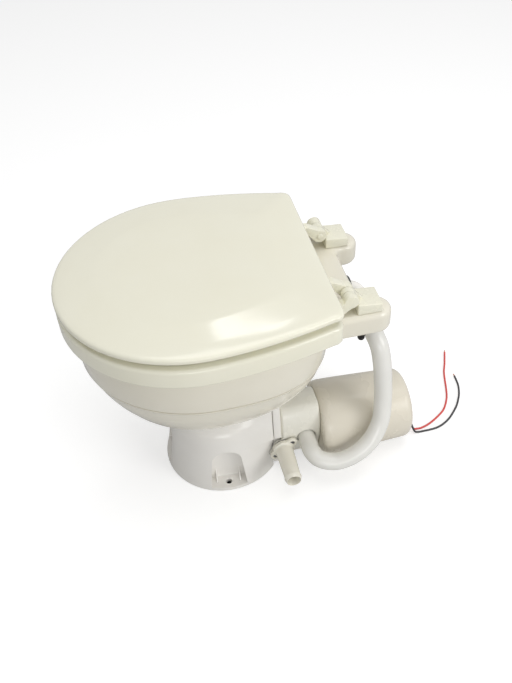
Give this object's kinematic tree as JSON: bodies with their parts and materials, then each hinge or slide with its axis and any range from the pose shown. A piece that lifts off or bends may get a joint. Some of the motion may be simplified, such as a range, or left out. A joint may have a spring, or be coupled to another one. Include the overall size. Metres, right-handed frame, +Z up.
{
  "type": "electric marine toilet",
  "caption": "Compact electric marine toilet: china bowl on a moulded pedestal, hinged seat and lid, macerator pump with motor behind, rinse hose and bare supply leads.",
  "frame": {"origin": "centre of the floor outline of the whole toilet without its leads, on the floor", "axes": "+Z up, -Y towards the front of the seat, +X towards the discharge port side"},
  "size_m": [0.314, 0.5772, 0.347],
  "materials": {
    "china": "glazed white vitreous china",
    "enamel_plastic": "glossy cream moulded plastic",
    "white_plastic": "glossy white moulded plastic",
    "pump_plastic": "satin off-white moulded plastic",
    "cover_plastic": "satin off-white moulded plastic",
    "hose_plastic": "smooth white flexible hose",
    "rubber": "black rubber",
    "steel": "stainless steel",
    "black_plastic": "black moulded plastic",
    "magnet": "dark ferrite",
    "copper": "copper winding",
    "red_insulation": "red cable insulation",
    "black_insulation": "black cable insulation"
  },
  "bodies": {
    "stand": {"base_pedestal": "white_plastic", "waste_elbow": "white_plastic", "discharge_port": "white_plastic", "inlet_elbow": "white_plastic", "bowl": "china", "bowl_gasket": "rubber", "joker_valve": "rubber", "shaft_seal": "rubber", "inlet_seal": "rubber", "wire_grommet": "rubber", "hinge_washer_left": "rubber", "hinge_washer_right": "rubber", "hinge_base_left": "enamel_plastic", "hinge_base_right": "enamel_plastic", "bowl_bolt_1": "steel", "bowl_bolt_2": "steel", "bowl_bolt_3": "steel", "bowl_bolt_4": "steel", "hinge_pin_left": "steel", "hinge_pin_right": "steel", "hinge_stud_left": "steel", "hinge_stud_right": "steel", "port_screw_1": "steel", "port_screw_2": "steel", "chopper_plate": "steel", "front_bearing": "steel", "rear_bearing": "steel", "motor_plate": "steel", "motor_can": "steel", "hinge_nut_left": "black_plastic", "hinge_nut_right": "black_plastic", "brush_plate": "black_plastic", "pump_adaptor": "pump_plastic", "pump_housing": "pump_plastic", "chamber_divider": "pump_plastic", "motor_cover": "cover_plastic", "rinse_hose": "hose_plastic", "magnet_upper": "magnet", "magnet_lower": "magnet", "red_lead": "red_insulation", "black_lead": "black_insulation"},
    "seat": {"seat": "enamel_plastic", "seat_arm_left": "enamel_plastic", "seat_arm_right": "enamel_plastic", "seat_buffer_1": "rubber", "seat_buffer_2": "rubber", "seat_buffer_3": "rubber", "seat_buffer_4": "rubber"},
    "lid": {"lid": "enamel_plastic", "lid_arm_left": "enamel_plastic", "lid_arm_right": "enamel_plastic", "lid_buffer_1": "rubber", "lid_buffer_2": "rubber"},
    "rotor": {"rotor_shaft": "steel", "macerator_blade": "steel", "discharge_impeller": "black_plastic", "rinse_impeller": "rubber", "armature": "copper", "commutator": "copper"}
  },
  "joints": [
    {"name": "seat_hinge", "type": "hinge", "parent": "stand", "child": "seat", "pos_m": [0, 0.1187, 0.314], "axis": [-1, 0, 0], "range_deg": [0, 48]},
    {"name": "lid_hinge", "type": "hinge", "parent": "seat", "child": "lid", "pos_m": [0, 0.1187, 0.314], "axis": [-1, 0, 0], "range_deg": [0, 96]},
    {"name": "rotor_spin", "type": "hinge", "parent": "stand", "child": "rotor", "pos_m": [0.032, 0.1577, 0.057], "axis": [0, 1, 0], "continuous": true}
  ]
}
